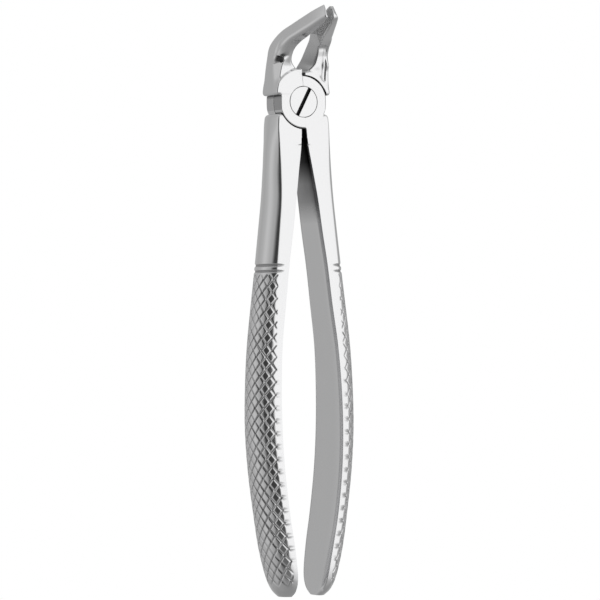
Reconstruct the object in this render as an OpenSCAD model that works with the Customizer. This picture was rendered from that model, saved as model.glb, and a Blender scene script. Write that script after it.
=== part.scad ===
// Dental extraction forceps for lower teeth: two crossed forged halves that turn on a slotted pivot screw.
// +Z points towards the beaks and +Y out of the joint's flat back face. The origin is where the pivot axis
// meets that face. The screw's head faces -Y, and the beaks bend forward, towards -Y.
// The modules below draw around the joint's mid-plane, and place() moves them into this frame.

/* [Joint] */
// Thickness of the joint, from its front face to its back face
joint_t = 9.2; // [8.8:0.1:9.6]
// Radius of the round plate that each half has in the joint
plate_r = 7.5; // [7.4:0.05:7.6]
// Half width of the waist, across the plates' side flats
waist_half = 7.35; // [7.1:0.05:7.4]
// Radial gap between a plate and the recess for it in the other half
recess_gap = 0.25; // [0.2:0.05:0.3]
// Gap between the two plates, where they lap
lap_gap = 0.1; // [0.06:0.01:0.14]
// Height of the beaks' shoulders above the pivot axis
beak_shoulder_z = 1.9; // [1.7:0.1:2.2]
// Distance of the arms' shoulders below the pivot axis
arm_shoulder_z = 3.4; // [3.2:0.1:3.8]

/* [Pivot screw] */
// Radius of the screw's head
head_r = 4.4; // [4:0.1:4.6]
// Thickness of the screw's head
head_t = 2; // [1.6:0.1:2.4]
// Radius of the screw's shank
shank_r = 2.8; // [2.4:0.1:3]
// Radial clearance of the screw in the front half
screw_clearance = 0.05; // [0.03:0.01:0.08]
// Width of the screwdriver slot
slot_w = 1.15; // [0.9:0.05:1.4]
// Depth of the screwdriver slot
slot_depth = 1.2; // [0.8:0.1:1.4]
// Lean of the screwdriver slot from upright
slot_angle = 28; // [0:1:90]

/* [Arms and beaks] */
// Length of the arms below the pivot axis
arm_l = 142; // [136:1:148]
// Greatest depth of the handles, from front edge to back edge
handle_depth = 17.5; // [16.5:0.1:18.5]
// Height of the beaks' tips above the pivot axis
beak_h = 26.7; // [25.9:0.1:27.5]
// Bevel along the edges of the arms' inner faces
inner_bevel = 0.6; // [0.4:0.1:0.8]

/* [Hidden] */
$fn = 96;

mid_y = -joint_t / 2;       // the joint's mid-plane in the part's frame
face_y = joint_t / 2;       // the joint's outer faces, counted from the mid-plane
flush = 0.05;               // the arms and beaks start this far inside the joint's faces
over = 30;                  // cutters reach this far past what they cut
steps = 3;                  // stations drawn for each row of the tables below

// One arm, from its shoulder to its end: height below the pivot, inner face, start of the round
// outer side, crown of the outer side, and half the depth.
ARM = [
    [arm_shoulder_z, 0.22, 8.0, 8.6, face_y - flush],
    [7.5, 0.22, 8.2, 9.0, 4.75],
    [13, 0.7, 8.0, 9.7, 5.15],
    [20, 1.8, 7.8, 10.2, 5.65],
    [28, 3.0, 8.1, 10.7, 6.25],
    [37, 4.2, 8.9, 11.7, 6.5],
    [47, 5.7, 9.8, 12.9, 6.7],
    [58, 7.0, 10.3, 14.4, 6.9],
    [70, 8.5, 10.9, 15.8, 7.35],
    [82, 9.2, 11.2, 16.45, 7.95],
    [94, 9.3, 11.3, 16.5, 8.4],
    [106, 8.7, 10.7, 15.6, 8.7],
    [118, 7.3, 9.3, 14.0, 8.75],
    [128, 5.6, 7.6, 12.5, 8.45],
    [136, 4.4, 6.4, 10.5, 7.6],
    [140, 4.0, 5.7, 8.9, 5.6],
    [142, 4.0, 5.2, 7.2, 2.8]
];

// One beak, from its shoulder to its tip: back edge (y, z), front edge (y, z), inner face, outer face,
// and the radius of the outer corners.
BEAK = [
    [face_y - flush, beak_shoulder_z, flush - face_y, beak_shoulder_z, 0.5, 8.4, 0.5],
    [4.45, 6, -4.5, 5.5, 0.5, 8.2, 0.7],
    [4.35, 9.5, -5, 8.7, 1.5, 7.9, 0.9],
    [4.1, 12.8, -5.6, 10.5, 2.9, 7.6, 1.1],
    [3.5, 16, -5.9, 12.9, 3.8, 7.3, 1.3],
    [1.2, 18.4, -7.2, 15, 3.9, 6.9, 1.4],
    [-2.2, 20.5, -9.6, 16.8, 3.3, 6.2, 1.4],
    [-6.6, 22.2, -12.8, 18.2, 2.6, 5.2, 1.2],
    [-11.2, 23.9, -16, 19.6, 2.0, 4.2, 1.0],
    [-15.6, 25.4, -19.2, 21.2, 1.4, 3.2, 0.8],
    [-19.9, 26.7, -21.9, 22.9, 0.85, 2.1, 0.6]
];
ARM_TABLE_L = 142;          // the sizes that the tables are drawn for
ARM_TABLE_HALF_DEPTH = 8.75;
BEAK_TABLE_H = 26.7;

// A point on the smooth curve through the rows of a table, t of the way from row i to the next.
function between(rows, i, t) =
    let (a = rows[max(i - 1, 0)], b = rows[i], c = rows[i + 1], d = rows[min(i + 2, len(rows) - 1)])
    (2 * b + (c - a) * t + (2 * a - 5 * b + 4 * c - d) * t * t + (3 * b - a - 3 * c + d) * t * t * t) / 2;

function smooth(rows) = concat(
    [for (i = [0 : len(rows) - 2]) for (k = [0 : steps - 1]) between(rows, i, k / steps)],
    [rows[len(rows) - 1]]);

// The D-shaped section of an arm: flat inner face, bevels, front and back lands, and a round outer side.
function arm_ring(z, x_in, x_land, x_out, h) =
    let (
        bulge = x_out - x_land,
        r = (h * h + bulge * bulge) / (2 * bulge),
        half_angle = asin(min(1, h / r)),
        inner = [[x_in, h - inner_bevel], [x_in, inner_bevel - h], [x_in + inner_bevel, -h]],
        outer = [for (k = [-4 : 4]) [x_out - r + r * cos(k * half_angle / 4), r * sin(k * half_angle / 4)]]
    )
    [for (p = concat(inner, outer, [[x_in + inner_bevel, h]])) [p[0], p[1], -z]];

function arm_rings() = [for (s = smooth(ARM))
    arm_ring(s[0] <= arm_shoulder_z ? s[0] : s[0] * arm_l / ARM_TABLE_L, s[1], s[2], s[3],
        face_y + (s[4] - face_y) * (handle_depth / 2 - face_y) / (ARM_TABLE_HALF_DEPTH - face_y))];

// Three points round a corner of a section, which is r round and faces the given way.
function corner(u, x, r, du, dx) = [for (a = [0, 45, 90]) [u - du * r * (1 - sin(a)), x - dx * r * (1 - cos(a))]];

function reversed(p) = [for (i = [len(p) - 1 : -1 : 0]) p[i]];

// The section of a beak, across the line from its back edge to its front edge.
function beak_ring(b, f, x_in, x_out, r) =
    let (
        l = norm(f - b),
        dir = (f - b) / l,
        r_in = 0.3,
        outline = concat(
            reversed(corner(l, x_in, r_in, 1, -1)), corner(0, x_in, r_in, -1, -1),
            reversed(corner(0, x_out, r, -1, 1)), corner(l, x_out, r, 1, 1))
    )
    [for (p = outline) [p[1], b[0] + dir[0] * p[0], b[1] + dir[1] * p[0]]];

function beak_rings() =
    let (k = beak_h / BEAK_TABLE_H)
    [for (s = smooth(BEAK)) beak_ring([s[0], s[1] * k], [s[2], s[3] * k], s[4], s[5], s[6])];

// A closed solid through a row of rings that all have the same number of points.
module loft(rings) {
    n = len(rings[0]);
    last = (len(rings) - 1) * n;
    polyhedron(
        points = [for (ring = rings) each ring],
        faces = concat(
            [[for (i = [n - 1 : -1 : 0]) i]],
            [for (j = [0 : len(rings) - 2]) for (i = [0 : n - 1])
                [j * n + i, (j + 1) * n + (i + 1) % n, (j + 1) * n + i]],
            [for (j = [0 : len(rings) - 2]) for (i = [0 : n - 1])
                [j * n + i, j * n + (i + 1) % n, (j + 1) * n + (i + 1) % n]],
            [[for (i = [0 : n - 1]) last + i]]),
        convexity = 6);
}

// A round bar along Y, from y0 to y1.
module bar(r, y0, y1) {
    translate([0, y1, 0])
        rotate([90, 0, 0])
            cylinder(r = r, h = y1 - y0);
}

// The arm on the right; the left one is its mirror image.
module arm() {
    loft(arm_rings());
}

// The beak on the right; the left one is its mirror image.
module beak() {
    loft(beak_rings());
}

// Half of the joint's thickness: a round plate with flats on its sides. side is -1 in front, 1 at the back.
module plate(side) {
    y0 = side < 0 ? -face_y : lap_gap / 2;
    y1 = side < 0 ? -lap_gap / 2 : face_y;
    intersection() {
        bar(plate_r, y0, y1);
        translate([-waist_half, y0 - 1, -plate_r])
            cube([2 * waist_half, y1 - y0 + 2, 2 * plate_r]);
    }
}

// One forging: a plate, the arm on one side and the beak on the other. The other half's plate turns in
// the recess that is cut into its arm and beak.
module half(side) {
    plate(side);
    difference() {
        union() {
            mirror([side < 0 ? 0 : 1, 0, 0]) arm();
            mirror([side < 0 ? 1 : 0, 0, 0]) beak();
        }
        if (side < 0)
            bar(plate_r + recess_gap, -lap_gap / 2, over);
        else
            bar(plate_r + recess_gap, -over, lap_gap / 2);
    }
}

module place() {
    translate([0, mid_y, 0]) children();
}

module back_half() {
    color("lightsteelblue") place() difference() {
        half(1);
        bar(shank_r, -over, over);
    }
}

module front_half() {
    color("gainsboro") place() difference() {
        half(-1);
        bar(shank_r + screw_clearance, -over, over);
        bar(head_r + screw_clearance, -over, head_t - face_y + screw_clearance);
    }
}

module pivot_screw() {
    color("silver") place() difference() {
        union() {
            bar(head_r, -face_y, head_t - face_y);
            bar(shank_r, head_t - face_y - 0.5, face_y);
        }
        rotate([0, slot_angle, 0])
            translate([-slot_w / 2, -face_y - 1, -over])
                cube([slot_w, slot_depth + 1, 2 * over]);
    }
}

back_half();
front_half();
pivot_screw();
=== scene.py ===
"""Looks for the dental extraction forceps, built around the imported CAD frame.

Each forging is one closed mesh. Its joint, shoulder and beak come from a distance field, which gives
the soft fillets of a polished forging, and its arm is a loft of rings whose points lie on the knurl's
own grid. The recess, the screw hole and the serrations are then cut with sharp edges.
Lengths are in millimetres, round the joint's mid-plane, until to_object() puts them in the frame.
"""

import math

import bmesh
import bpy
import numpy as np
from mathutils import Matrix, Vector


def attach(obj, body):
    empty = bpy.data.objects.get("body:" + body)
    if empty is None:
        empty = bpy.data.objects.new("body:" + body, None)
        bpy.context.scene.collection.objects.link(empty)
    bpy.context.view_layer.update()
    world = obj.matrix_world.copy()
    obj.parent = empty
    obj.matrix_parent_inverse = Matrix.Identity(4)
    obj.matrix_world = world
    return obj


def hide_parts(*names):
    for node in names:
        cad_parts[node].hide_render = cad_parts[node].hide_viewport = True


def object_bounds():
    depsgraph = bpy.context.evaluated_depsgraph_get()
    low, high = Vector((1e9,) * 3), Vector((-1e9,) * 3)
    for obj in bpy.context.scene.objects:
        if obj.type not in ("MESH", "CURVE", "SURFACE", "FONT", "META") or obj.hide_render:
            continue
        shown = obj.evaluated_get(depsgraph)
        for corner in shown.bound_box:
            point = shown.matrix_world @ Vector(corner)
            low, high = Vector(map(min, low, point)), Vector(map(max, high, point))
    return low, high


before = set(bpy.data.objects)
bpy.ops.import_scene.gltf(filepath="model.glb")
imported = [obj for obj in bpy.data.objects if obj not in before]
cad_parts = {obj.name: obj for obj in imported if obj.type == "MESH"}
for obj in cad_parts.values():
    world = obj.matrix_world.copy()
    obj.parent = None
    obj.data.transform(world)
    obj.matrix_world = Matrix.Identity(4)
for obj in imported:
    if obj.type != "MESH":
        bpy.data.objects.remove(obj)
cad_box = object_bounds()

MM = 0.001
rng = np.random.default_rng(7)

# ---- Driving sizes, as in the CAD part; only the recess is a little wider and lower ----
FACE_Y = 4.6            # the joint's front and back faces
PLATE_R = 7.5           # round plates in the joint
WAIST = 7.35            # flats on the sides of the plates
RECESS_GAP = 0.32       # round a plate, in the other half's recess
RECESS_DROP = 0.1       # of the recess in the back half, below the pivot axis
LAP = 0.05              # each plate's inner face, from the mid-plane
BEAK_SHOULDER = 1.9     # height of the beaks' shoulders
ARM_SHOULDER = -3.4     # height of the arms' shoulders
BEVEL_X, BEVEL_Y = 0.5, 1.3     # bevel along the edges of the arms' inner faces
HEAD_R, HEAD_T = 4.4, 2.0
SHANK_R = 2.8
CLEARANCE = 0.05        # round the screw, in the front half
SLOT_W, SLOT_DEPTH, SLOT_ANGLE = 1.15, 1.2, 28

# ---- Arms: height, inner face, start of the round side, crown of the round side, half depth ----
ARM = np.array([
    [-2.0, 0.22, 8.0, 8.55, 4.6],
    [-4.2, 0.22, 8.0, 8.65, 4.6],
    [-7.5, 0.22, 8.2, 9.0, 4.75],
    [-13, 0.7, 8.0, 9.7, 5.15],
    [-20, 1.8, 7.8, 10.2, 5.65],
    [-28, 3.0, 8.1, 10.7, 6.25],
    [-37, 4.2, 8.9, 11.7, 6.5],
    [-47, 5.7, 9.8, 12.9, 6.7],
    [-58, 7.0, 10.3, 14.4, 6.9],
    [-70, 8.5, 10.9, 15.8, 7.35],
    [-82, 9.2, 11.2, 16.45, 7.95],
    [-94, 9.3, 11.3, 16.5, 8.4],
    [-106, 8.7, 10.7, 15.6, 8.7],
    [-118, 7.3, 9.3, 14.0, 8.75],
    [-128, 5.6, 7.6, 12.5, 8.45],
    [-136, 4.4, 6.4, 10.5, 7.6],
    [-140, 4.0, 5.7, 8.9, 5.6],
    [-142, 4.0, 5.2, 7.2, 2.8],
])

# ---- Beaks: back edge (y, z), front edge (y, z), inner face at back and front, outer face at back and
# front, radius of the outer corners at back and front, radius of the inner back corner ----
BEAK = np.array([
    [4.60, 1.9, -4.60, 1.9, 0.50, 0.50, 8.40, 8.55, 0.4, 0.4, 0.3],
    [4.45, 6.0, -4.60, 5.5, 0.50, 0.50, 8.20, 8.30, 0.6, 0.5, 0.3],
    [4.35, 9.5, -4.90, 8.7, 1.60, 1.50, 7.90, 8.15, 0.8, 0.5, 0.8],
    [4.10, 12.8, -5.60, 10.5, 3.40, 2.90, 7.55, 8.10, 1.0, 0.6, 1.0],
    [3.50, 16.0, -5.90, 12.9, 4.70, 3.80, 7.20, 8.15, 1.2, 0.8, 1.0],
    [1.20, 18.4, -7.20, 15.0, 4.70, 3.90, 6.70, 8.10, 1.3, 1.0, 0.9],
    [-2.20, 20.5, -9.60, 16.8, 3.50, 3.30, 6.00, 7.45, 1.3, 1.0, 0.8],
    [-6.60, 22.2, -12.80, 18.2, 2.70, 2.60, 5.00, 6.30, 1.2, 0.9, 0.5],
    [-11.20, 23.9, -16.00, 19.6, 2.00, 2.00, 3.90, 5.00, 1.0, 0.8, 0.4],
    [-15.60, 25.4, -19.20, 21.2, 1.40, 1.40, 2.80, 3.70, 0.7, 0.6, 0.3],
    [-19.90, 26.7, -21.90, 22.9, 0.80, 0.85, 1.35, 1.90, 0.2, 0.3, 0.2],
])

# ---- Beak roots in front, x counted outwards: each rod by its two ends and its radius ----
NECK = ((3.9, -1.9, 6.0), (4.9, -3.1, 14.6), 2.7)            # the back half's neck
NOOK = ((9.2, -1.4, 12.6), (6.7, -3.7, 12.1), 0.85)          # a pocket in the front half
CREASE = ((8.35, -1.7, 12.8), (7.75, -4.8, 18.3), 0.6)       # a groove up the front half's outer edge
FRONT_LAND_R, BACK_LAND_R = 9.5, 8.7                         # flat land round the joint, on each half

# ---- Knurl and collar ----
KNURL_TOP, KNURL_END = -49.3, -139.0
PITCH_Z, PITCH_ROUND = 3.65, 3.2     # of a diamond, along the handle and round it
KNURL_DEPTH, KNURL_HALF_WIDTH = 0.27, 0.3
CELLS = 14                           # mesh rows and columns for each diamond
SCRIBE = 0.12                        # depth of the fine line between an inner face and its bevel
COLLAR = [(-46.9, 0.5, 0.32), (-48.6, 0.45, 0.3)]    # each groove: height, half width, depth


# ---------------------------------------------------------------- smooth curves and fields
def spline(rows, t):
    """Points on the smooth curve through the rows, at the places t, counted in rows."""
    i = np.clip(np.floor(t).astype(int), 0, len(rows) - 2)
    a, b = rows[np.maximum(i - 1, 0)], rows[i]
    c, d = rows[i + 1], rows[np.minimum(i + 2, len(rows) - 1)]
    t = (t - i)[..., None]
    return (2 * b + (c - a) * t + (2 * a - 5 * b + 4 * c - d) * t ** 2 + (3 * b - a - 3 * c + d) * t ** 3) / 2


def smin(a, b, k):
    """The smaller of two distances: both solids, joined by a fillet of about k."""
    h = np.maximum(k - np.abs(a - b), 0) / k
    return np.minimum(a, b) - h * h * k / 4


def smax(a, b, k):
    """The larger of two distances: the solids' overlap, with its edge rounded by about k."""
    return -smin(-a, -b, k)


# painted shade on the inner faces, by height, and on the waist
INNER_SHADE = [(-36, -26, -12, -8, 8, 15, 27), (0, 0.3, 0.7, 0.7, 0.3, 0.14, 0.1)]   # by height
FRONT_WAIST_SHADE, BACK_WAIST_SHADE, WAIST_END_SHADE = 0.2, 0.12, 0.4
ARM_FINE = spline(ARM, np.linspace(0, len(ARM) - 1, 400))
BEAK_FINE = spline(BEAK, np.linspace(0, len(BEAK) - 1, 61))


def arm_size(z):
    """Inner face, start of the round side, crown and half depth of the arm at each height."""
    heights = ARM_FINE[::-1, 0]
    return [np.interp(z, heights, ARM_FINE[::-1, k]) for k in (1, 2, 3, 4)]


def side_radius(x_land, x_out, h):
    """Radius of the arm's round side, from its crown's height over the lands and half its depth."""
    bulge = x_out - x_land
    return (h * h + bulge * bulge) / (2 * bulge)


def arm_field(x, y, z):
    """Roughly the distance to the right-hand arm: flat inner face, bevels, lands and a round side."""
    x_in, x_land, x_out, h = arm_size(z)
    r = side_radius(x_land, x_out, h)
    lands = np.abs(y) - h
    d = smax(np.hypot(x - x_out + r, y) - r, lands, 0.5)
    bevel = ((x_in + BEVEL_X - x) * BEVEL_Y + lands * BEVEL_X) / math.hypot(BEVEL_X, BEVEL_Y)
    d = smax(d, bevel, 0.1)
    d = smax(d, x_in - x, 0.12)
    return smax(d, z - ARM_SHOULDER, 1.4)


def capsule(x, y, z, a, b, r):
    """Distance to a rod with round ends, from a to b."""
    a, b = np.array(a, float), np.array(b, float)
    ab = b - a
    px, py, pz = x - a[0], y - a[1], z - a[2]
    t = np.clip((px * ab[0] + py * ab[1] + pz * ab[2]) / (ab @ ab), 0, 1)
    return np.sqrt((px - t * ab[0]) ** 2 + (py - t * ab[1]) ** 2 + (pz - t * ab[2]) ** 2) - r


def beak_place(y, z):
    """How far along the beak each (y, z) is, in rows of BEAK_FINE, and its distance past the tip."""
    y, z = np.broadcast_arrays(y, z)
    back, front = BEAK_FINE[:, 0:2], BEAK_FINE[:, 2:4]
    across = front - back
    across /= np.linalg.norm(across, axis=1)[:, None]
    place = np.zeros(y.shape)
    before = None
    for k in range(len(BEAK_FINE)):
        gone = (y - back[k, 0]) * across[k, 1] - (z - back[k, 1]) * across[k, 0]
        if before is not None:
            here = (before >= 0) & (gone < 0)
            place = np.where(here, k - 1 + before / np.maximum(before - gone, 1e-9), place)
        before = gone
    return np.where(before >= 0, len(BEAK_FINE) - 1.001, place), before


def rounded(u, x, length, x_in, x_out, radii):
    """Distance to a box in (u, x) with its own radius at each corner."""
    middle = (x_in + x_out) / 2
    r_in_back, r_in_front, r_out_back, r_out_front = radii
    r = np.where(u < length / 2,
                 np.where(x < middle, r_in_back, r_out_back),
                 np.where(x < middle, r_in_front, r_out_front))
    a = np.abs(u - length / 2) - length / 2 + r
    b = np.abs(x - middle) - (x_out - x_in) / 2 + r
    return np.hypot(np.maximum(a, 0), np.maximum(b, 0)) + np.minimum(np.maximum(a, b), 0) - r


def beak_field(x, y, z, side):
    """Roughly the distance to a beak that bends forward, with x counted outwards."""
    place, past_tip = beak_place(y, z)
    row = np.moveaxis(spline(BEAK_FINE, place), -1, 0)
    yb, zb, yf, zf, in_b, in_f, out_b, out_f, r_ob, r_of, r_ib = row
    place = place * (len(BEAK) - 1) / (len(BEAK_FINE) - 1)
    length = np.hypot(yf - yb, zf - zb)
    u = ((y - yb) * (yf - yb) + (z - zb) * (zf - zb)) / length
    share = np.clip(u / length, 0, 1)
    near_tip = np.clip(place - 9, 0, 1)
    if side < 0:
        x_in = in_b + (in_f - in_b) * share + 0.35 * near_tip
        x_out = out_b + (out_f - out_b) * share
    else:
        x_in = in_b + (in_f - in_b) * share
        x_out = out_b + (out_f - out_b) * share + 0.7 * near_tip
    # the underside slants back towards the outer face, once clear of the joint
    away = np.clip(place - 3, 0, 1)
    slant = 0.28 * away * np.maximum(x - x_in, 0)
    if side < 0:
        r_of = r_of * (1 + 0.9 * away) + 2.2 * np.exp(-((place - 4.1) / 0.9) ** 2)
    blank = rounded(u, x, length - slant, x_in - 3, x_out, (0.3, 0.3, r_ob, r_of))
    blank = smax(blank, past_tip, 0.3 if side < 0 else 1.8)
    land = smax(blank, np.hypot(x, z) - (FRONT_LAND_R if side < 0 else BACK_LAND_R), 0.7)
    d = carved_front(x, y, z, side, blank)
    d = smin(d, land, 1.0)
    inner_round = 0.15 + 1.6 * (r_ib - 0.2) * (1 - share) + 1.1 * share * np.exp(-((z - 12.0) / 2.5) ** 2)
    d = smax(d, x_in - x, inner_round)
    d = smin(d, smax(land, 0.45 - x, 0.3), 0.4)
    return smax(d, BEAK_SHOULDER - z, 1.2)


def carved_front(x, y, z, side, blank):
    """The beak's root in front: a neck, with a hollow between it and the outer edge."""
    if side > 0:
        hollow = smin(-4.0 - y, 15.8 - z, 2.5)
        neck = capsule(x, y, z, *NECK)
        flange = smax(blank, 7.2 - x, 0.3)
        d = smin(smax(blank, hollow, 1.5), smax(blank, neck, 0.6), 1.6)
        return smin(d, flange, 1.0)
    d = smax(blank, smin(-4.25 - y, 12.0 - z, 2.5), 1.6)
    flat = 0.93 * (x - 8.1) - 0.33 * (y + 4.1) + 0.153 * (z - 2.0)
    top = 11.4 - z - 0.25 * (y + 3)
    d = smax(d, smin(flat, top, 0.2), 0.25)
    d = smax(d, -nook(x, y, z), 0.35)
    return smax(d, -capsule(x, y, z, *CREASE), 0.7)


def nook(x, y, z):
    """Distance to the small dark pocket above the flat beside the front disc."""
    return capsule(x, y, z, *NOOK)


def half_field(x, y, z, side):
    """Roughly the distance to one forging, before its cuts: negative inside. side is -1 in front."""
    arm = arm_field(-side * x, y, z)
    beak = beak_field(side * x, y, z, side)
    disc = smax(np.hypot(x, z) - PLATE_R, np.abs(x) - WAIST, 0.3)
    slab = np.maximum(-FACE_Y - y, y + LAP) if side < 0 else np.maximum(LAP - y, y - FACE_Y)
    plate = smax(disc, slab, 0.35)
    return smin(smin(arm, beak, 0.1), plate, 0.5)


def project(field, p):
    """Moves points onto the field's surface."""
    e = 0.01
    for _ in range(3):
        x, y, z = p.T
        value = field(x, y, z)
        slope = np.stack([field(x + e, y, z) - value, field(x, y + e, z) - value,
                          field(x, y, z + e) - value], axis=1) / e
        move = value[:, None] * slope / np.maximum((slope ** 2).sum(1), 0.2)[:, None]
        p = p - np.clip(move, -0.15, 0.15)
    return p


def surface(field, low, high, step):
    """Quads on the field's surface inside a box: one point for each grid cell that it passes through."""
    axes = [np.arange(a, b, step) for a, b in zip(low, high)]
    v = field(axes[0][:, None, None], axes[1][None, :, None], axes[2][None, None, :])
    shape = np.array(v.shape)
    places, cells, quads = [], [], []
    for axis in range(3):
        first = np.take(v, range(shape[axis] - 1), axis)
        second = np.take(v, range(1, shape[axis]), axis)
        edge = np.argwhere((first < 0) != (second < 0))
        a, b = first[tuple(edge.T)], second[tuple(edge.T)]
        place = edge.astype(float)
        place[:, axis] += a / (a - b)
        u, w = (axis + 1) % 3, (axis + 2) % 3
        around = np.repeat(edge[:, None], 4, axis=1)
        around[:, :, u] += [-1, 0, 0, -1]
        around[:, :, w] += [-1, -1, 0, 0]
        inside = ((around >= 0) & (around < shape - 1)).all(2)
        number = np.ravel_multi_index(np.moveaxis(np.clip(around, 0, shape - 1), 2, 0), shape)
        places.append(np.repeat(place, 4, axis=0)[inside.ravel()])
        cells.append(number.ravel()[inside.ravel()])
        whole = inside.all(1)
        quads.append(np.where((a < 0)[whole, None], number[whole], number[whole][:, ::-1]))
    names, index = np.unique(np.concatenate(cells), return_inverse=True)
    count = np.bincount(index)
    places = np.concatenate(places)
    points = np.stack([np.bincount(index, places[:, k]) / count for k in range(3)], axis=1)
    points = points * step + [axis[0] for axis in axes]
    return project(field, points), np.searchsorted(names, np.concatenate(quads))


# ---------------------------------------------------------------- the arm's rings
GRID_REACH = 10.4            # how far the knurl's grid goes round from the crown, each way
COLUMNS = int(GRID_REACH * CELLS / PITCH_ROUND)
STEP_ROUND = PITCH_ROUND / CELLS
STEP_Z = PITCH_Z / CELLS
SEAM = -12.0                 # where the field's surface ends and the rings start
INNER_POINT = 99.0           # "how far round" of the points on the bevels and the inner face


def arm_ring(z):
    """Points round the arm at one height, from the crown both ways, and how far round each one is."""
    x_in, x_land, x_out, h = arm_size(z)
    r = side_radius(x_land, x_out, h)
    arc = r * math.asin(min(1, h / r))
    land_end = arc + x_land - x_in - BEVEL_X
    round_ = np.arange(COLUMNS) * STEP_ROUND
    round_ = round_ * min(1, (land_end - 0.05) / round_[-1])
    angle = np.minimum(round_, arc) / r
    x = x_out - r + r * np.cos(angle) - np.maximum(round_ - arc, 0)
    y = r * np.sin(angle)
    line = h - BEVEL_Y
    inner = np.array([[x_in + BEVEL_X, h], [x_in + BEVEL_X / 2, h - BEVEL_Y / 2], [x_in, line + 0.12],
                      [x_in + SCRIBE, line], [x_in, line - 0.12], [x_in, h / 2], [x_in, h / 4]])
    side = np.concatenate([np.stack([x, y], axis=1), inner])
    round_ = np.concatenate([round_, np.full(len(inner), INNER_POINT)])
    mirrored = side[:0:-1] * [1, -1]
    points = np.concatenate([side, [[x_in, 0]], mirrored])
    signed = np.concatenate([round_, [INNER_POINT], -round_[:0:-1]])
    return np.column_stack([points, np.full(len(points), z)]), signed


def ring_heights():
    """Heights of the rings: wide apart on the plain arm, and on the knurl's grid along the handle."""
    plain = np.arange(SEAM - 0.2, -45.9, -0.75)
    collar = np.arange(-46.0, KNURL_TOP, -0.11)
    first = math.ceil(KNURL_TOP / STEP_Z) * STEP_Z
    knurl = first - STEP_Z * np.arange(int((first + 141.6) / STEP_Z) + 1)
    return np.concatenate([plain, collar, knurl[knurl < collar[-1] - 0.05], [-141.85, -142.0]])


def own_value(index, table):
    """The value that the table holds for each groove line."""
    return table[np.mod(index.astype(int), len(table))]


SHIFTS = rng.normal(0, 0.022, (4, 97))
DEPTHS = 1 + rng.normal(0, 0.16, (4, 97))


def knurl_depth(z, around, hand):
    """Depth of the two crossing families of grooves."""
    deepest = np.zeros_like(z)
    normal = 1 / math.hypot(1 / PITCH_Z, 1 / PITCH_ROUND)
    for family, sign in enumerate((1, -1)):
        table = 2 * family + (hand > 0)
        phase = z / PITCH_Z + sign * around / PITCH_ROUND
        line = np.round(phase)
        off = np.abs(phase - line - own_value(line, SHIFTS[table])) * normal
        depth = KNURL_DEPTH * own_value(line, DEPTHS[table]) * np.clip(1 - off / KNURL_HALF_WIDTH, 0, 1)
        deepest = np.maximum(deepest, depth)
    return deepest


def sunk_depth(z, around, arc, hand):
    """How deep the knurl or a collar groove is cut at each point of the arm."""
    on_side = np.clip((arc + 0.25 - np.abs(around)) / 0.45, 0, 1)
    along = np.clip((KNURL_TOP - z) / 0.5, 0, 1) * np.clip((z - KNURL_END) / 1.5, 0, 1)
    depth = knurl_depth(z, around, hand) * on_side * along
    for height, half_width, deep in COLLAR:
        fade = np.clip((arc + 2.3 - np.abs(around)) / 2.3, 0, 1)
        reach = half_width * np.sqrt(fade)
        profile = np.clip(1 - ((z - height) / np.maximum(reach, 0.02)) ** 2, 0, 1)
        depth = np.maximum(depth, deep * np.minimum(1, fade * 1.4) * profile)
    return depth


def arm_rings(side):
    """All rings of one arm, on the field's surface and then cut by the knurl and the collar."""
    rings, around = zip(*[arm_ring(z) for z in ring_heights()])
    count = len(rings[0])
    p, around = np.concatenate(rings), np.concatenate(around)
    p[:, 0] *= -side

    def field(x, y, z):
        return arm_field(-side * x, y, z)

    p = project(field, p) * [1, 1, 0] + p * [0, 0, 1]      # each ring stays level
    e = 0.02
    x, y, z = p.T
    slope = np.stack([field(x + e, y, z) - field(x - e, y, z), field(x, y + e, z) - field(x, y - e, z),
                      field(x, y, z + e) - field(x, y, z - e)], axis=1)
    normal = slope / np.linalg.norm(slope, axis=1)[:, None]
    x_in, x_land, x_out, h = arm_size(z)
    r = side_radius(x_land, x_out, h)
    arc = r * np.arcsin(np.minimum(1, h / r))
    depth = sunk_depth(z, around, arc, side)
    on_line = (np.abs(np.abs(y) - (h - BEVEL_Y)) < 0.05) & (around == INNER_POINT)
    depth = np.where(on_line, SCRIBE * np.clip((SEAM - 2 - z) / 8, 0, 1), depth)
    p = p - normal * depth[:, None]
    return p, count


def ring_faces(rows, count, start):
    """Triangles between rings, split along the grooves of the knurl."""
    faces = []
    first = round(math.ceil(KNURL_TOP / STEP_Z))
    heights = np.round(ring_heights() / STEP_Z).astype(int)
    last_column = COLUMNS - 1
    for i in range(rows - 1):
        for j in range(count):
            k = (j + 1) % count
            a, b = start + i * count + j, start + i * count + k
            c, d = a + count, b + count
            column = j if j <= last_column else j - count
            on_first_family = (heights[i + 1] + column) % CELLS == 0 and heights[i] <= first
            faces += [(a, c, b), (b, c, d)] if on_first_family else [(a, c, d), (a, d, b)]
    return faces


def zip_loops(points, upper, lower):
    """Triangles between two loops round the same axis, which have different numbers of points."""
    centre = points[lower].mean(0)

    def by_angle(loop):
        angle = np.arctan2(points[loop, 1] - centre[1], points[loop, 0] - centre[0])
        order = np.argsort(angle)
        return np.asarray(loop)[order], angle[order]

    a, angle_a = by_angle(upper)
    b, angle_b = by_angle(lower)
    faces, i, j = [], 0, 0
    while i < len(a) or j < len(b):
        next_a = angle_a[(i + 1) % len(a)] + 2 * math.pi * ((i + 1) // len(a)) if i < len(a) else 1e9
        next_b = angle_b[(j + 1) % len(b)] + 2 * math.pi * ((j + 1) // len(b)) if j < len(b) else 1e9
        if next_a < next_b:
            faces.append((a[i % len(a)], a[(i + 1) % len(a)], b[j % len(b)]))
            i += 1
        else:
            faces.append((a[i % len(a)], b[(j + 1) % len(b)], b[j % len(b)]))
            j += 1
    return faces


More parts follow.
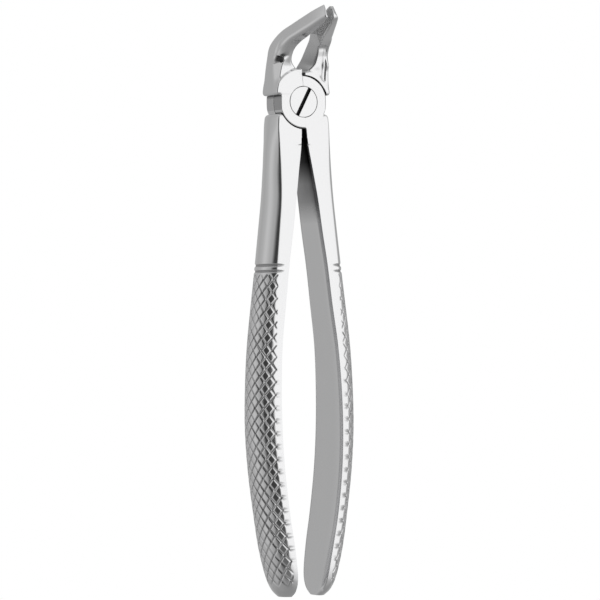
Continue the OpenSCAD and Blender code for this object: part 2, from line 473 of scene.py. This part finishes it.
def open_loop(quads):
    """Points on the open edge of a surface."""
    edges = np.concatenate([quads[:, [k, (k + 1) % 4]] for k in range(4)])
    edges = np.sort(edges, axis=1)
    pairs, times = np.unique(edges, axis=0, return_counts=True)
    return np.unique(pairs[times == 1])


# ---------------------------------------------------------------- Blender meshes
def to_object(name, points, faces):
    """A mesh object in the frame, from points in millimetres round the joint's mid-plane."""
    mesh = bpy.data.meshes.new(name)
    placed = (np.asarray(points) - [0, FACE_Y, 0]) * MM
    mesh.from_pydata(placed.tolist(), [], [tuple(int(i) for i in f) for f in faces])
    shape = bmesh.new()
    shape.from_mesh(mesh)
    bmesh.ops.recalc_face_normals(shape, faces=shape.faces)
    shape.to_mesh(mesh)
    shape.free()
    ob = bpy.data.objects.new(name, mesh)
    bpy.context.scene.collection.objects.link(ob)
    return ob


def lathe(name, profile, segments=192):
    """A solid turned round the pivot axis from (y, radius) pairs; the ends are on the axis."""
    rings = len(profile) - 2
    angle = 2 * math.pi * np.arange(segments) / segments
    points = [[0, profile[0][0], 0], [0, profile[-1][0], 0]]
    for y, r in profile[1:-1]:
        points += np.stack([r * np.cos(angle), np.full(segments, y), r * np.sin(angle)], axis=1).tolist()
    faces = []
    for j in range(segments):
        k = (j + 1) % segments
        faces.append((0, 2 + j, 2 + k))
        faces.append((1, 2 + (rings - 1) * segments + k, 2 + (rings - 1) * segments + j))
        for i in range(rings - 1):
            at = 2 + i * segments
            faces.append((at + j, at + segments + j, at + segments + k, at + k))
    return to_object(name, points, faces)


def cut(ob, *cutters):
    """Subtracts the cutters from ob and deletes them."""
    for cutter in cutters:
        mod = ob.modifiers.new("cut", "BOOLEAN")
        mod.operation = "DIFFERENCE"
        mod.solver = "MANIFOLD"
        mod.object = cutter
    mesh = bpy.data.meshes.new_from_object(ob.evaluated_get(bpy.context.evaluated_depsgraph_get()))
    ob.modifiers.clear()
    old = ob.data
    ob.data = mesh
    bpy.data.meshes.remove(old)
    for cutter in cutters:
        bpy.data.objects.remove(cutter)


def polish_normals(ob, sharp_degrees):
    ob.data.shade_smooth()
    ob.data.set_sharp_from_angle(angle=math.radians(sharp_degrees))


def write_painted_shade(ob, side):
    """Stores the painted shade of each point: its depth below the smooth forging, or how closed in it is."""
    mesh = ob.data
    p, normal = np.empty((2, len(mesh.vertices) * 3))
    mesh.vertices.foreach_get("co", p)
    mesh.vertices.foreach_get("normal", normal)
    x, y, z = p.reshape(-1, 3).T / MM
    y = y + FACE_Y
    shade = -half_field(x, y, z, side)
    # painted shade on the faces that look at the other half, darkest in the narrow wedge below the joint
    facing = np.clip((-normal[::3] * np.sign(x) - 0.6) / 0.3, 0, 1)
    shade = np.maximum(shade, facing * np.interp(z, INNER_SHADE[0], INNER_SHADE[1]))
    # painted shade on the waist, between the shoulders, darker towards its ends
    on_waist = (np.abs(x) > WAIST - 0.25) & (np.abs(x) < WAIST + 0.1)
    on_waist &= (z < BEAK_SHOULDER) & (z > ARM_SHOULDER)
    middle, half = (BEAK_SHOULDER + ARM_SHOULDER) / 2, (BEAK_SHOULDER - ARM_SHOULDER) / 2
    ends = np.clip((np.abs(z - middle) - half + 0.9) / 0.7, 0, 1)
    waist_shade = FRONT_WAIST_SHADE if side < 0 else BACK_WAIST_SHADE
    shade = np.where(on_waist, waist_shade + WAIST_END_SHADE * ends, shade)
    # painted shade in the small pocket beside the front disc
    if side < 0:
        shade = np.maximum(shade, np.clip(0.5 - 2 * nook(-x, y, z), 0, 0.6))
    mesh.attributes.new("depth", "FLOAT", "POINT").data.foreach_set("value", shade)


def make_half(name, side):
    step = 0.2
    low = (-10.4, -24, SEAM)
    high = (10.4, 6, 28)

    def field(x, y, z):
        return half_field(x, y, z, side)

    points, quads = surface(field, low, high, step)
    rings, count = arm_rings(side)
    start = len(points)
    rows = len(rings) // count
    last = start + (rows - 1) * count
    points = np.concatenate([points, rings])
    faces = quads.tolist()
    faces += ring_faces(rows, count, start)
    faces += zip_loops(points, open_loop(quads), np.arange(start, start + count))
    faces.append(tuple(range(last, last + count)))
    ob = to_object(name, points, faces)
    cutters = [lathe("recess", [(side * LAP, 0), (side * LAP, PLATE_R + RECESS_GAP),
                                (-side * 9, PLATE_R + RECESS_GAP), (-side * 9, 0)])]
    cutters[0].location.z = -RECESS_DROP * MM if side > 0 else 0
    bore = SHANK_R + (CLEARANCE if side < 0 else 0)
    cutters.append(lathe("bore", [(-9, 0), (-9, bore), (9, bore), (9, 0)]))
    if side < 0:
        r, floor_y = HEAD_R + CLEARANCE, HEAD_T - FACE_Y + CLEARANCE
        cutters.append(lathe("seat", [(-9, 0), (-9, r + 0.1), (-FACE_Y, r + 0.1), (0.1 - FACE_Y, r),
                                      (floor_y, r), (floor_y, 0)]))
    cutters += serrations(side)
    cut(ob, *cutters)
    write_painted_shade(ob, side)
    polish_normals(ob, 50)
    return ob


def box_mesh(name, size, place, turn):
    """A box of the given size, turned by the matrix and then placed."""
    corners = [Vector((x, y, z)) for x in (-1, 1) for y in (-1, 1) for z in (-1, 1)]
    half = Vector(size) / 2
    points = [turn @ Vector((c.x * half.x, c.y * half.y, c.z * half.z)) + Vector(place) for c in corners]
    faces = [(0, 1, 3, 2), (4, 6, 7, 5), (0, 4, 5, 1), (2, 3, 7, 6), (0, 2, 6, 4), (1, 5, 7, 3)]
    return to_object(name, [tuple(p) for p in points], faces)


SERRATED_ROWS = np.arange(6.4, 9.95, 0.125)                # where the grooves cross, in rows of BEAK
GROOVE_SECTION = ((-0.24, -0.2), (0.24, -0.2), (0.0, 0.2))    # across the groove, and into the face
GROOVE_SLANT = 0.7


def serrations(side):
    """V-shaped bars that cut crossed grooves into the beak's inner face, near the tip."""
    points, faces = [], []
    for slant in (-1, 1):
        for place in SERRATED_ROWS:
            row = spline(BEAK, np.array([place]))[0]
            ahead = spline(BEAK, np.array([min(place + 0.05, 9.99)]))[0]
            back = np.array([row[4], row[0], row[1]])
            front = np.array([row[5], row[2], row[3]])
            middle = (back + front) / 2
            along = np.array([ahead[4], ahead[0], ahead[1]]) - back
            along /= np.linalg.norm(along)
            across = (front - back) / np.linalg.norm(front - back)
            run = across + slant * GROOVE_SLANT * along
            run /= np.linalg.norm(run)
            wide = np.cross(run, [1, 0, 0])
            wide /= np.linalg.norm(wide)
            reach = np.linalg.norm(front - back) * 0.5
            n = len(points)
            for end in (-1, 1):
                at = middle + run * reach * end
                for w, depth in GROOVE_SECTION:
                    p = at + wide * w + [depth, 0, 0]
                    points.append([side * p[0], p[1], p[2]])
            faces += [(n, n + 1, n + 2), (n + 5, n + 4, n + 3), (n, n + 3, n + 4, n + 1),
                      (n + 1, n + 4, n + 5, n + 2), (n + 2, n + 5, n + 3, n)]
    return [to_object("serrations", points, faces)]


def write_slot_painted_shade(ob):
    """Stores how far each point of the slot lies below the screw's face, as painted shade inside it, lighter
    on one side.
    """
    lean = math.radians(SLOT_ANGLE)
    depths = []
    for vertex in ob.data.vertices:
        x, y, z = vertex.co / MM
        off = x * math.cos(lean) - z * math.sin(lean)
        below = y + 2 * FACE_Y
        in_slot = abs(off) < SLOT_W / 2 + 0.01 and below < SLOT_DEPTH + 0.01
        # painted shade: darker deeper in the slot, and lighter on the side where off is negative
        depths.append(below * (0.35 if off < 0 else 1) if in_slot else 0.0)
    ob.data.attributes.new("depth", "FLOAT", "POINT").data.foreach_set("value", depths)


def make_screw():
    chamfer = 0.1
    ob = lathe("pivot_screw_turned", [
        (-FACE_Y, 0), (-FACE_Y, HEAD_R - chamfer), (chamfer - FACE_Y, HEAD_R), (HEAD_T - FACE_Y, HEAD_R),
        (HEAD_T - FACE_Y, SHANK_R), (FACE_Y - chamfer, SHANK_R), (FACE_Y, SHANK_R - chamfer), (FACE_Y, 0)])
    turn = Matrix.Rotation(math.radians(SLOT_ANGLE), 3, "Y")
    slot = box_mesh("slot", (SLOT_W, 2 * SLOT_DEPTH, 12), (0, -FACE_Y, 0), turn)
    cut(ob, slot)
    write_slot_painted_shade(ob)
    polish_normals(ob, 30)
    return ob


# ---------------------------------------------------------------- materials
def principled(name, **values):
    material = bpy.data.materials.new(name)
    material.use_nodes = True
    shader = material.node_tree.nodes["Principled BSDF"]
    for key, value in values.items():
        shader.inputs[key].default_value = value
    return material, material.node_tree, shader


def steel(name, roughness):
    """Polished surgical steel: fine grinding lines, soft patches of roughness, rougher grooves, and painted
    shade that darkens the grooves and closed-in places.
    """
    material, tree, shader = principled(name, Metallic=1.0)
    nodes, link = tree.nodes, tree.links.new
    coordinates = nodes.new("ShaderNodeTexCoord")

    def noise(scale, stretch, detail=2.0):
        mapping = nodes.new("ShaderNodeMapping")
        mapping.inputs["Scale"].default_value = stretch
        texture = nodes.new("ShaderNodeTexNoise")
        texture.inputs["Scale"].default_value = scale
        texture.inputs["Detail"].default_value = detail
        link(coordinates.outputs["Object"], mapping.inputs["Vector"])
        link(mapping.outputs["Vector"], texture.inputs["Vector"])
        return texture.outputs["Fac"]

    def to_range(value, low, high, start=0.0, end=1.0):
        node = nodes.new("ShaderNodeMapRange")
        node.inputs["From Min"].default_value = start
        node.inputs["From Max"].default_value = end
        node.inputs["To Min"].default_value = low
        node.inputs["To Max"].default_value = high
        link(value, node.inputs["Value"])
        return node.outputs["Result"]

    def combine(operation, a, b):
        node = nodes.new("ShaderNodeMath")
        node.operation = operation
        link(a, node.inputs[0])
        link(b, node.inputs[1])
        return node.outputs["Value"]

    # painted shade: the stored shade attribute darkens the base colour in grooves, recesses, inner faces and
    # the waist
    depth = nodes.new("ShaderNodeAttribute")
    depth.attribute_name = "depth"
    stored_painted_shade = combine("MAXIMUM", to_range(depth.outputs["Fac"], 0, 0.5, 0.03, 0.22),
                   to_range(depth.outputs["Fac"], 0, 1, 0.2, 0.55))
    ramp = nodes.new("ShaderNodeValToRGB")
    ramp.color_ramp.elements[0].color = (0.86, 0.86, 0.865, 1)
    ramp.color_ramp.elements[1].color = (0.05, 0.05, 0.052, 1)
    # painted shade: ambient occlusion darkens the base colour in crevices and gaps
    hollow = nodes.new("ShaderNodeAmbientOcclusion")
    hollow.samples = 8
    hollow.inputs["Distance"].default_value = 0.004
    painted_crevice_shade = to_range(hollow.outputs["AO"], 0.85, 0.0, 0.12, 0.62)
    link(combine("MAXIMUM", stored_painted_shade, painted_crevice_shade), ramp.inputs["Fac"])
    link(ramp.outputs["Color"], shader.inputs["Base Color"])
    patches = to_range(noise(220, (1, 1, 1)), roughness * 0.75, roughness * 1.3, 0.3, 0.7)
    dirty = to_range(depth.outputs["Fac"], 0, 0.3, 0.04, 0.3)
    link(combine("ADD", patches, dirty), shader.inputs["Roughness"])
    bump = nodes.new("ShaderNodeBump")
    bump.inputs["Strength"].default_value = 0.12
    bump.inputs["Distance"].default_value = 0.00001
    link(noise(900, (1, 1, 0.06), 3.0), bump.inputs["Height"])
    link(bump.outputs["Normal"], shader.inputs["Normal"])
    return material


# ---------------------------------------------------------------- floor, camera and light
YAW, ROLL = math.radians(28), math.radians(0.564)
LENS, SENSOR = 200, 36
VIEW_WIDTH = 0.1729          # of the picture, at the pivot's distance
PIVOT_LEFT, PIVOT_UP = 0.0011, 0.05686    # of the pivot, from the picture's middle
FLOOR_HALF = 2               # half the floor's width, in metres


def make_camera():
    level = Vector((math.cos(YAW), -math.sin(YAW), 0))
    ahead = Vector((math.sin(YAW), math.cos(YAW), 0))
    up_axis = Vector((0, 0, 1))
    right = level * math.cos(ROLL) - up_axis * math.sin(ROLL)
    up = up_axis * math.cos(ROLL) + level * math.sin(ROLL)
    pivot = Vector((0, -FACE_Y * MM, 0))
    distance = VIEW_WIDTH * LENS / SENSOR
    place = pivot + right * PIVOT_LEFT - up * PIVOT_UP - ahead * distance
    data = bpy.data.cameras.new("camera")
    data.lens, data.sensor_width = LENS, SENSOR
    ob = bpy.data.objects.new("camera", data)
    bpy.context.scene.collection.objects.link(ob)
    ob.matrix_world = Matrix((
        (right.x, up.x, -ahead.x, place.x),
        (right.y, up.y, -ahead.y, place.y),
        (right.z, up.z, -ahead.z, place.z),
        (0, 0, 0, 1)))
    bpy.context.scene.camera = ob


# Brightness of the studio round the object: angle from the front, towards the left, in turns.
ROUND_LIGHT = [(-0.50, 0.46), (-0.38, 0.42), (-0.28, 0.36), (-0.215, 0.48), (-0.165, 1.0), (-0.05, 1.03),
               (0.05, 1.0), (0.085, 0.60), (0.11, 0.07), (0.195, 0.04), (0.24, 0.42), (0.32, 0.58),
               (0.38, 0.46), (0.43, 0.42), (0.50, 0.46)]
FLOOR_LIGHT, CEILING_LIGHT = 0.28, 0.60
# how far each height of the direction takes the light from round the object: straight down is 0
LEVEL_SHARE = [(0.0, 0.0), (0.14, 0.15), (0.27, 0.55), (0.40, 1.0), (0.70, 1.0), (1.0, 0.2)]


def make_world():
    """White behind the object, and a soft studio for its reflections: bright in front, a dark screen to
    the front left, grey at the sides and behind, and darker towards the floor."""
    world = bpy.data.worlds.new("studio")
    bpy.context.scene.world = world
    world.use_nodes = True
    tree = world.node_tree
    nodes, link = tree.nodes, tree.links.new
    nodes.clear()
    coordinates = nodes.new("ShaderNodeTexCoord")
    split = nodes.new("ShaderNodeSeparateXYZ")
    link(coordinates.outputs["Generated"], split.inputs["Vector"])

    def math_node(operation, first, second):
        node = nodes.new("ShaderNodeMath")
        node.operation = operation
        for socket, value in zip(node.inputs, (first, second)):
            if isinstance(value, (int, float)):
                socket.default_value = value
            else:
                link(value, socket)
        return node.outputs["Value"]

    def ramp(value, stops):
        node = nodes.new("ShaderNodeValToRGB")
        node.color_ramp.interpolation = "EASE"
        elements = node.color_ramp.elements
        while len(elements) < len(stops):
            elements.new(0.5)
        for element, (at, grey) in zip(elements, stops):
            element.position = at
            element.color = (grey, grey, grey, 1)
        link(value, node.inputs["Fac"])
        return node.outputs["Color"]

    back = math_node("MULTIPLY", split.outputs["Y"], -1.0)
    left = math_node("MULTIPLY", split.outputs["X"], -1.0)
    turn = math_node("MULTIPLY", math_node("ARCTAN2", left, back), 1 / (2 * math.pi))
    around = ramp(math_node("ADD", turn, 0.5), [(at + 0.5, grey) for at, grey in ROUND_LIGHT])
    height = math_node("MULTIPLY", math_node("ADD", split.outputs["Z"], 1.0), 0.5)
    share = ramp(height, LEVEL_SHARE)
    upward = ramp(height, [(0.45, FLOOR_LIGHT), (0.55, CEILING_LIGHT)])
    rest = math_node("MULTIPLY", upward, math_node("SUBTRACT", 1.0, share))
    light = math_node("ADD", math_node("MULTIPLY", around, share), rest)
    path = nodes.new("ShaderNodeLightPath")
    seen = math_node("MAXIMUM", path.outputs["Is Camera Ray"], light)
    background = nodes.new("ShaderNodeBackground")
    output = nodes.new("ShaderNodeOutputWorld")
    link(seen, background.inputs["Color"])
    link(background.outputs["Background"], output.inputs["Surface"])


def make_floor():
    """A plain pale floor under the handles' ends: white to the camera, like the background, and hidden
    from reflections and shadows."""
    mesh = bpy.data.meshes.new("floor")
    level = cad_box[0][2]
    corners = [(-FLOOR_HALF, -FLOOR_HALF), (FLOOR_HALF, -FLOOR_HALF),
               (FLOOR_HALF, FLOOR_HALF), (-FLOOR_HALF, FLOOR_HALF)]
    mesh.from_pydata([(x, y, level) for x, y in corners], [], [(0, 1, 2, 3)])
    ob = bpy.data.objects.new("floor", mesh)
    bpy.context.scene.collection.objects.link(ob)
    pale = principled("pale_floor", **{
        "Roughness": 1.0, "Base Color": (0, 0, 0, 1), "Specular IOR Level": 0,
        "Emission Color": (1, 1, 1, 1), "Emission Strength": 1.0})[0]
    mesh.materials.append(pale)
    ob.visible_diffuse = False
    ob.visible_glossy = False
    ob.visible_shadow = False


bpy.context.scene.view_settings.view_transform = "Standard"
forged_steel = steel("forged_steel", 0.13)
screw_steel = steel("screw_steel", 0.10)
for name, side, node, body in (("front_half_polished", -1, "front_half", "front"),
                               ("back_half_polished", 1, "back_half", "back")):
    half = make_half(name, side)
    half.data.materials.clear()
    half.data.materials.append(forged_steel)
    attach(half, body)
    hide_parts(node)
screw = make_screw()
screw.data.materials.clear()
screw.data.materials.append(screw_steel)
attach(screw, "back")
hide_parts("pivot_screw")
make_floor()
make_camera()
make_world()
